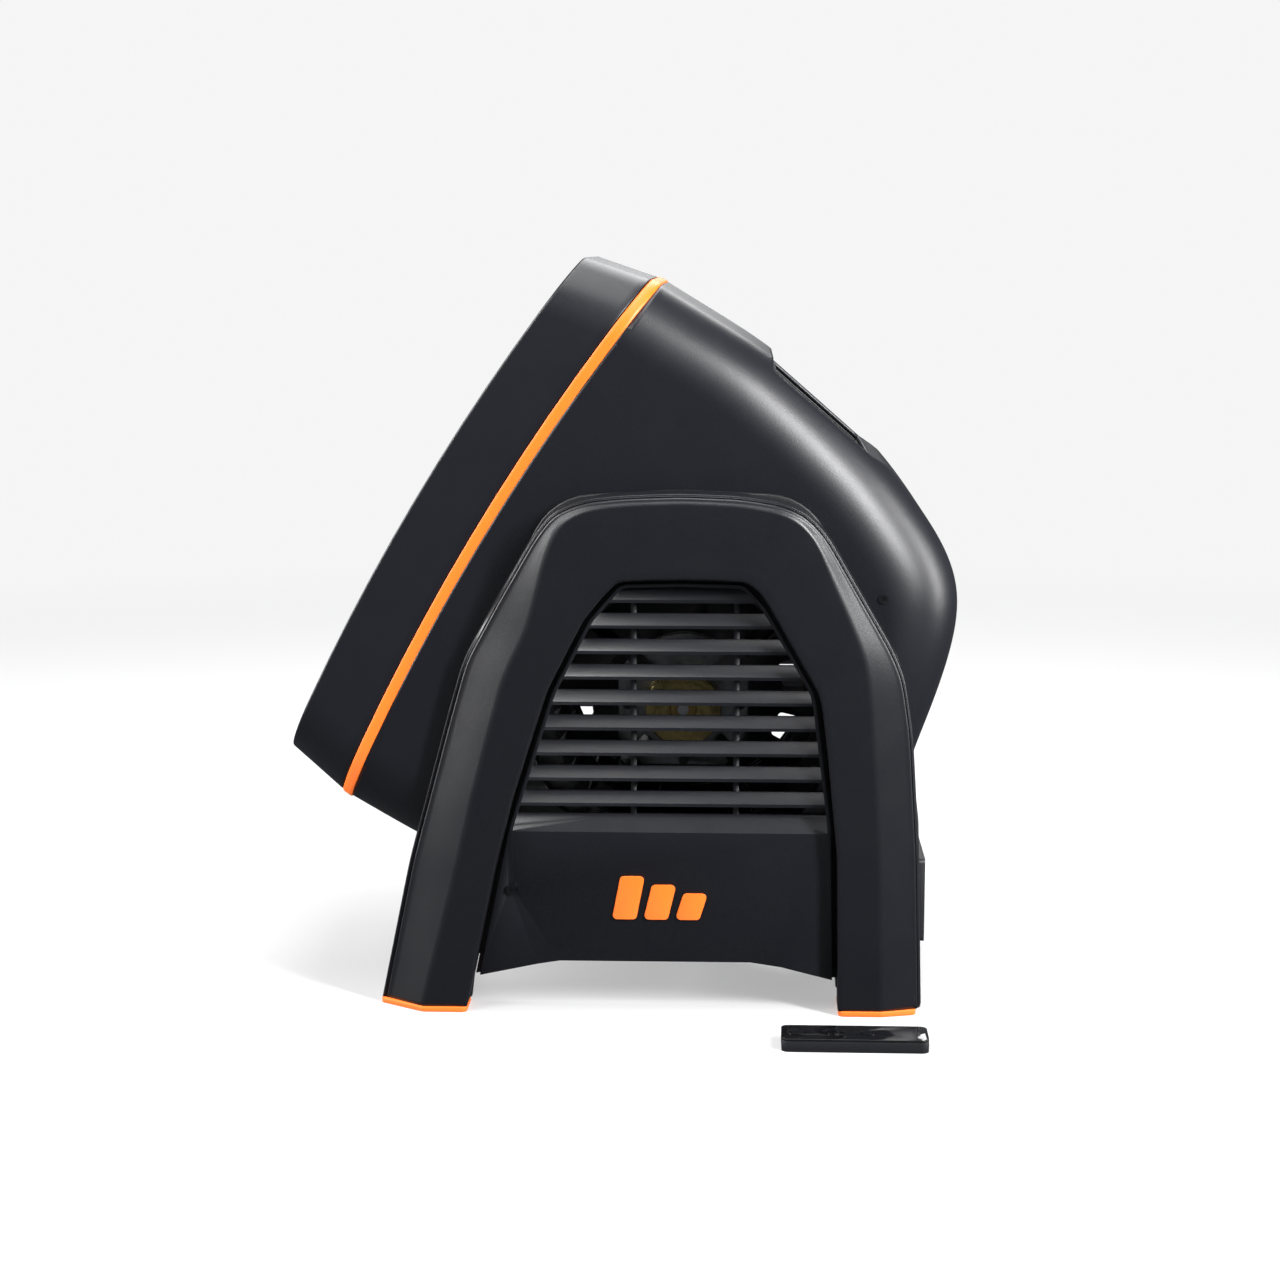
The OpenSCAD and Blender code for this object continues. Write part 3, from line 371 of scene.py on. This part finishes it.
def rearShell(side):
    # a grid of (across, along): the side profile is repeated at stations across the half width, flat near the
    # middle and then round a quarter circle, each a little smaller; the side wall blends the last profile to
    # the inlet circle in straight lines
    h = head
    w, r = h["halfWidth"], h["rounding"]
    line = profilePlaces()
    flat = np.array([shell["seam"], 1.2, 8, 20, 35, 50, 64, shell["cupHalfWidth"] - 6.0])
    flat = np.concatenate([flat[flat < w - r - 2]])
    a = np.radians(np.linspace(0, 90, 26))
    xRound = w - r + r * np.sin(a)
    iPocket = np.argmin(np.abs(xRound - shell["cupHalfWidth"]))
    a[iPocket] = math.asin((shell["cupHalfWidth"] - (w - r)) / r)
    xs = np.concatenate([flat, w - r + r * np.sin(a)])
    es = np.concatenate([np.zeros(len(flat)), r * (1 - np.cos(a))])
    rows = []
    mid = h["midHeight"]
    for x, e in zip(xs, es):
        su, sv = 1 - e / shell["roundDepth"], 1 - e / shell["roundHeight"]
        u = h["ringBack"] + (line[:, 0] - h["ringBack"]) * su
        v = mid + (line[:, 1] - mid) * sv
        front = shellFront(v)
        ok = np.nonzero(u >= front)[0]
        v[:ok[0]] = v[ok[0]]
        v[ok[-1] + 1:] = v[ok[-1]]
        u = np.maximum(u, shellFront(v))
        ra, rw = toRecess(u, v)
        floorLine = np.interp(ra, shell["floorAt"], shell["floorLevel"])
        cut = (ra > shell["floorAt"][0]) & (ra < shell["floorAt"][-1]) & (v > 120) & (rw > floorLine)
        u2, v2 = fromRecess(ra, floorLine)
        u = np.where(cut, u2, u)
        v = np.where(cut, v2, v)
        rows.append(np.stack([np.full(len(u), x), u, v], 1))
    band = np.stack(rows)                                    # across, along
    m, n = band.shape[:2]
    faces = gridFaces(m, n)
    pts = band.reshape(-1, 3)
    centre = pts[faces].mean(1)
    ra, rw = toRecess(centre[:, 1], centre[:, 2])
    hole = (np.abs(ra) < shell["cupHalfLength"]) & (centre[:, 0] < shell["cupHalfWidth"]) & (centre[:, 2] > 150)
    faces = faces[~hole]
    # side wall: the last band row closed by the bowed front edge, drawn in to a circle about the pivot
    last = band[-1][:, 1:]
    v0, v1 = last[-1, 1], last[0, 1]
    vf = np.linspace(v0, v1, 60)[1:-1]
    edge = np.stack([shellFront(vf), vf], 1)
    loop = np.concatenate([last, edge])
    ang = np.arctan2(loop[:, 1], loop[:, 0])
    circle = shell["inletRadius"] * np.stack([np.cos(ang), np.sin(ang)], 1)
    s = np.concatenate([[0, 0.02, 0.05], np.linspace(0.09, 1, 27)])
    wall = loop[None] * (1 - s[:, None, None]) + circle[None] * s[:, None, None]
    xw = np.full(wall.shape[:2], w)
    wall3 = np.concatenate([xw[..., None], wall], -1)
    lip = wall3[-1].copy()
    lip[:, 0] -= shell["inletLip"]
    wall3 = np.concatenate([wall3, lip[None]])
    faces2 = gridFaces(wall3.shape[0], wall3.shape[1], False, True, offset=len(pts))
    allPts = np.concatenate([pts, wall3.reshape(-1, 3)])
    allPts[:, 0] *= side
    return leanBack(allPts), np.concatenate([faces, faces2])

def turnOut(mesh, centre):
    # an open shell's faces turned away from the middle of the body
    bm = bmesh.new()
    bm.from_mesh(mesh)
    bmesh.ops.recalc_face_normals(bm, faces=bm.faces)
    s = sum((f.calc_center_median() - centre).dot(f.normal) * f.calc_area() for f in bm.faces)
    if s < 0:
        bmesh.ops.reverse_faces(bm, faces=bm.faces)
    bm.to_mesh(mesh)
    bm.free()

for side, name in ((1, "left"), (-1, "right")):
    pts, faces = rearShell(side)
    mesh = meshFrom(name + "ShellMesh", pts, faces)
    turnOut(mesh, Vector((0, 0.0, 0.25)))
    obj = addPiece(name + "RearShell", mesh, satinBlack, "head", [name + "_rear_shell"])
    mod = obj.modifiers.new("wall", "SOLIDIFY")
    mod.thickness = shell["thickness"] / 1000.0
    mod.offset = -1.0
    mod.use_even_offset = False
print("stage: rear shells made")

# stand: arch covers

arch = {"inner": 131.0, "outer": 153.0, "thickness": 2.8, "draft": 2.45, "bead": 1.9, "grooveDrop": 2.3, "soft": 2.6}
# rows: outer edge (y, z), its outward reach x, facet line (y, z), opening (y, z)
stations = np.array([
    [-208.8, 4, 133.5, -180.5, 4, -149.0, 4],
    [-188.0, 104, 134.0, -155.0, 104, -128.0, 104],
    [-175.6, 150, 134.2, -144.5, 150, -116.5, 150],
    [-160.0, 208, 134.6, -130.5, 204, -99.2, 205],
    [-149.0, 246, 135.6, -121.0, 238, -91.5, 228],
    [-126.5, 287, 138.8, -104.5, 272, -79.5, 252],
    [-101.0, 331, 146.0, -92.0, 322, -66.3, 277.5],
    [-87.5, 349, 149.5, -83.5, 344, -54.5, 292],
    [-67.0, 357.6, 151.0, -64.5, 352.5, -43.5, 303.4],
    [-38.0, 360.6, 151.3, -37.0, 355.6, -22.0, 304.6],
    [0.0, 361.9, 151.3, 0.0, 356.9, 0.0, 305],
    [40.0, 360.4, 151.3, 39.5, 355.4, 23.0, 304.7],
    [68.0, 356.0, 151.0, 66.0, 351.2, 44.5, 303.6],
    [84.0, 349.6, 150.5, 80.5, 345.5, 53.5, 296.5],
    [97.5, 335.0, 149.0, 92.5, 331.5, 60.0, 287],
    [143.0, 256.0, 146.0, 125.0, 254.0, 94.3, 227],
    [151.5, 236.5, 145.3, 129.0, 234.0, 97.5, 212],
    [157.4, 198.0, 145.0, 132.2, 190.0, 101.2, 180],
    [163.0, 111.4, 145.0, 137.2, 112.0, 108.0, 112],
    [166.1, 4, 145.0, 139.7, 4, 109.6, 4]])

def archCover(side):
    # cross-section through the moulding, carried along the arch from foot to foot
    count = 420
    s = np.concatenate([[0], np.cumsum(np.linalg.norm(np.diff(stations[:, :2], axis=0), axis=1))])
    t = np.linspace(0, s[-1], count)
    col = lambda c: np.interp(t, s, stations[:, c])
    o = smoothRows(np.stack([col(0), col(1)], 1), 3.2)
    xo = smoothRows(col(2)[:, None], 6.0)[:, 0]
    f = smoothRows(np.stack([col(3), col(4)], 1), 4.5)
    r = smoothRows(np.stack([col(5), col(6)], 1), 1.8)
    xi, xt = arch["inner"], arch["outer"]
    inward = (f - o)
    inward /= np.linalg.norm(inward, axis=1, keepdims=True)
    toOpening = (r - f)
    toOpening /= np.linalg.norm(toOpening, axis=1, keepdims=True)
    rows = []
    def put(p, x):
        rows.append(np.concatenate([np.broadcast_to(x, len(p))[:, None], p], 1))
    # outer wall with its draft, a fine groove, then a narrow bead along the edge
    bead, draft, low = arch["bead"], arch["draft"], arch["grooveDrop"]
    put(o - inward * draft, np.full(count, xi + 0.15))
    put(o - inward * draft * 0.55, xi + (xo - xi) * 0.45)
    put(o - inward * 0.45, xo - low - 0.9)
    put(o - inward * 0.25, xo - low - 0.2)
    put(o + inward * 0.05, xo - low)
    put(o + inward * 0.20, xo - low - 0.5)
    put(o + inward * 0.55, xo - low - 0.5)
    for a in np.radians([0, 18, 36, 54, 72, 90]):
        put(o + inward * (0.6 + bead * (1 - np.cos(a))), xo - bead * (1 - np.sin(a)))
    # facet from the beads to the facet line, with a soft meeting there
    start = o + inward * (bead + 0.75)
    span = np.linalg.norm(f - start, axis=1)
    soft = np.minimum(arch["soft"], 0.4 * span)
    rise = (xt - xo) / np.maximum(span, 1)
    for q in (0.1, 0.3, 0.5):
        put(start + (f - start) * q, xo + (xt - xo) * q)
    for q in (-1.0, -0.6, -0.2, 0.2, 0.6, 1.0):
        y = f + (inward if q < 0 else toOpening) * (soft * q)[:, None]
        put(y, xt - rise * soft * (1 - q) ** 2 / 4)
    for q in (0.3, 0.6, 0.85):
        put(f + (r - f) * q, np.full(count, xt))
    lip = 2.2
    for a in np.radians([0, 20, 40, 60, 80, 90]):
        put(r - toOpening * (lip - lip * np.sin(a)), np.full(count, xt) - lip * (1 - np.cos(a)))
    put(r, np.full(count, xt - 4.0))
    put(r, np.full(count, xt - 9.0))
    put(r, np.full(count, xi + 0.15))
    grid = np.stack(rows, 1)                                  # along, across
    n = grid.shape[1]
    pts = grid.reshape(-1, 3)
    pts[:, 0] *= side
    return pts, gridFaces(count, n)

for side, name in ((1, "left"), (-1, "right")):
    pts, faces = archCover(side)
    mesh = meshFrom(name + "CoverMesh", pts, faces)
    turnOut(mesh, Vector((side * 0.10, 0, 0.16)))
    obj = addPiece(name + "ArchCover", mesh, coverBlack, "stand", [name + "_arch_cover"])
    mod = obj.modifiers.new("wall", "SOLIDIFY")
    mod.thickness = arch["thickness"] / 1000.0
    mod.offset = -1.0
print("stage: arch covers made")

# CAD nodes with their edges broken

for node, width in (("left_side_panel", 0.35), ("right_side_panel", 0.35), ("left_inner_frame", 0.9),
                    ("right_inner_frame", 0.9), ("left_badge", 0.4), ("right_badge", 0.4),
                    ("front_crossbeam", 0.8), ("rear_control_box", 1.2),
                    ("control_panel", 0.8), ("panel_button_power", 0.5), ("panel_button_speed", 0.5),
                    ("panel_button_timer", 0.5), ("mains_switch", 0.5), ("power_inlet", 0.4), ("front_soles", 0.7),
                    ("rear_soles", 0.7), ("rear_foot_blocks", 0.6), ("outlet_grille", 0.4), ("handle_cup", 1.0),
                    ("grip_bar", 1.2), ("motor_plate", 0.25), ("motor_can", 1.6), ("motor_arms", 0.3),
                    ("remote_case", 0.9), ("remote_cover", 0.5), ("blower_wheel", 0.2)):
    isPanel = "side_panel" in node
    # the side panels take the darker louvre black in place of their own finish: painted shade on the recessed slats
    softened(node, width, shadedLouvreBlack if isPanel else None, plainFaces=node != "remote_cover" and not isPanel)
print("stage: edges broken")

# floor, light, camera

studio = {"floorSize": 40.0, "nearRadius": 0.9, "farRadius": 2.4, "pale": 0.915, "ownGlow": 0.36,
          "floorTone": 0.38, "roomGlow": 0.09}

def stageSurface():
    # a wide pale floor: lit and shaded near the object, an even pale glow further out, so that it has no horizon
    mesh = bpy.data.meshes.new("floorMesh")
    s = studio["floorSize"]
    mesh.from_pydata([(-s, -s, 0), (s, -s, 0), (s, s, 0), (-s, s, 0)], [], [(0, 1, 2, 3)])
    obj = bpy.data.objects.new("floor", mesh)
    bpy.context.scene.collection.objects.link(obj)
    mat, nodes, links, bsdf = newMaterial("paleFloor")
    tone = studio["floorTone"]
    bsdf.inputs["Base Color"].default_value = (tone, tone, tone * 1.01, 1)
    bsdf.inputs["Roughness"].default_value = 0.8
    bsdf.inputs["Specular IOR Level"].default_value = 0.0
    bsdf.inputs["Emission Color"].default_value = (1, 1, 1, 1)
    bsdf.inputs["Emission Strength"].default_value = studio["ownGlow"]
    coord = nodes.new("ShaderNodeTexCoord")
    length = nodes.new("ShaderNodeVectorMath")
    length.operation = "LENGTH"
    links.new(coord.outputs["Object"], length.inputs[0])
    fade = nodes.new("ShaderNodeMapRange")
    fade.interpolation_type = "SMOOTHSTEP"
    fade.inputs["From Min"].default_value = studio["nearRadius"]
    fade.inputs["From Max"].default_value = studio["farRadius"]
    links.new(length.outputs["Value"], fade.inputs["Value"])
    glow = nodes.new("ShaderNodeEmission")
    glow.inputs["Color"].default_value = (studio["pale"], studio["pale"], studio["pale"], 1)
    mix = nodes.new("ShaderNodeMixShader")
    links.new(fade.outputs["Result"], mix.inputs[0])
    links.new(bsdf.outputs[0], mix.inputs[1])
    links.new(glow.outputs[0], mix.inputs[2])
    links.new(mix.outputs[0], nodes["Material Output"].inputs["Surface"])
    mesh.materials.append(mat)
    obj.visible_glossy = False

def studioWorld():
    # pale where it is seen, a dim room in reflections
    world = bpy.data.worlds.new("studio")
    world.use_nodes = True
    nodes, links = world.node_tree.nodes, world.node_tree.links
    seen = nodes["Background"]
    seen.inputs["Color"].default_value = (studio["pale"], studio["pale"], studio["pale"], 1)
    dim = nodes.new("ShaderNodeBackground")
    dim.inputs["Color"].default_value = (0.93, 0.95, 1.0, 1)
    dim.inputs["Strength"].default_value = studio["roomGlow"]
    path = nodes.new("ShaderNodeLightPath")
    mix = nodes.new("ShaderNodeMixShader")
    links.new(path.outputs["Is Camera Ray"], mix.inputs[0])
    links.new(dim.outputs[0], mix.inputs[1])
    links.new(seen.outputs[0], mix.inputs[2])
    links.new(mix.outputs[0], nodes["World Output"].inputs["Surface"])
    bpy.context.scene.world = world

def softBox(name, place, aim, size, power):
    data = bpy.data.lights.new(name, "AREA")
    data.shape = "RECTANGLE"
    data.size, data.size_y = size
    data.energy = power
    obj = bpy.data.objects.new(name, data)
    obj.location = place
    obj.rotation_euler = (Vector(aim) - Vector(place)).to_track_quat("-Z", "Y").to_euler()
    bpy.context.scene.collection.objects.link(obj)
    return obj

stageSurface()
studioWorld()
# place and aim in metres, width and height in metres, watts
lights = {
    "keyLight": ((1.6, -1.7, 2.3), (0, 0, 0.25), (1.4, 1.4), 52),
    "topLight": ((0.1, 0.0, 2.5), (0, 0, 0), (0.9, 2.0), 36),
    "bandLight": ((1.15, 1.30, 1.25), (0, 0.1, 0.35), (0.26, 1.1), 72),
    "edgeLight": ((-1.9, 0.3, 1.9), (0, 0, 0.3), (0.8, 2.0), 22),
    "frontEdgeLight": ((0.15, -2.2, 1.2), (0, 0, 0.2), (0.5, 1.9), 74),
    "rearEdgeLight": ((0.12, 2.4, 0.9), (0, 0, 0.2), (0.5, 1.6), 54)}
for name, (place, aim, size, power) in lights.items():
    softBox(name, place, aim, size, power)

camera = {"place": (1.8317, 0.0425, 0.5302), "turn": 2.4, "down": 9.0, "lens": 70.31}
camData = bpy.data.cameras.new("camera")
camData.lens = camera["lens"]
camData.sensor_width = 36.0
camObj = bpy.data.objects.new("camera", camData)
camObj.location = camera["place"]
turn, down = math.radians(camera["turn"]), math.radians(camera["down"])
look = Vector((-math.cos(turn) * math.cos(down), -math.sin(turn) * math.cos(down), -math.sin(down)))
camObj.rotation_euler = look.to_track_quat("-Z", "Y").to_euler()
camData.clip_start = 0.01
bpy.context.scene.collection.objects.link(camObj)
bpy.context.scene.camera = camObj
bpy.context.scene.view_settings.view_transform = "Standard"
print("stage: studio set")
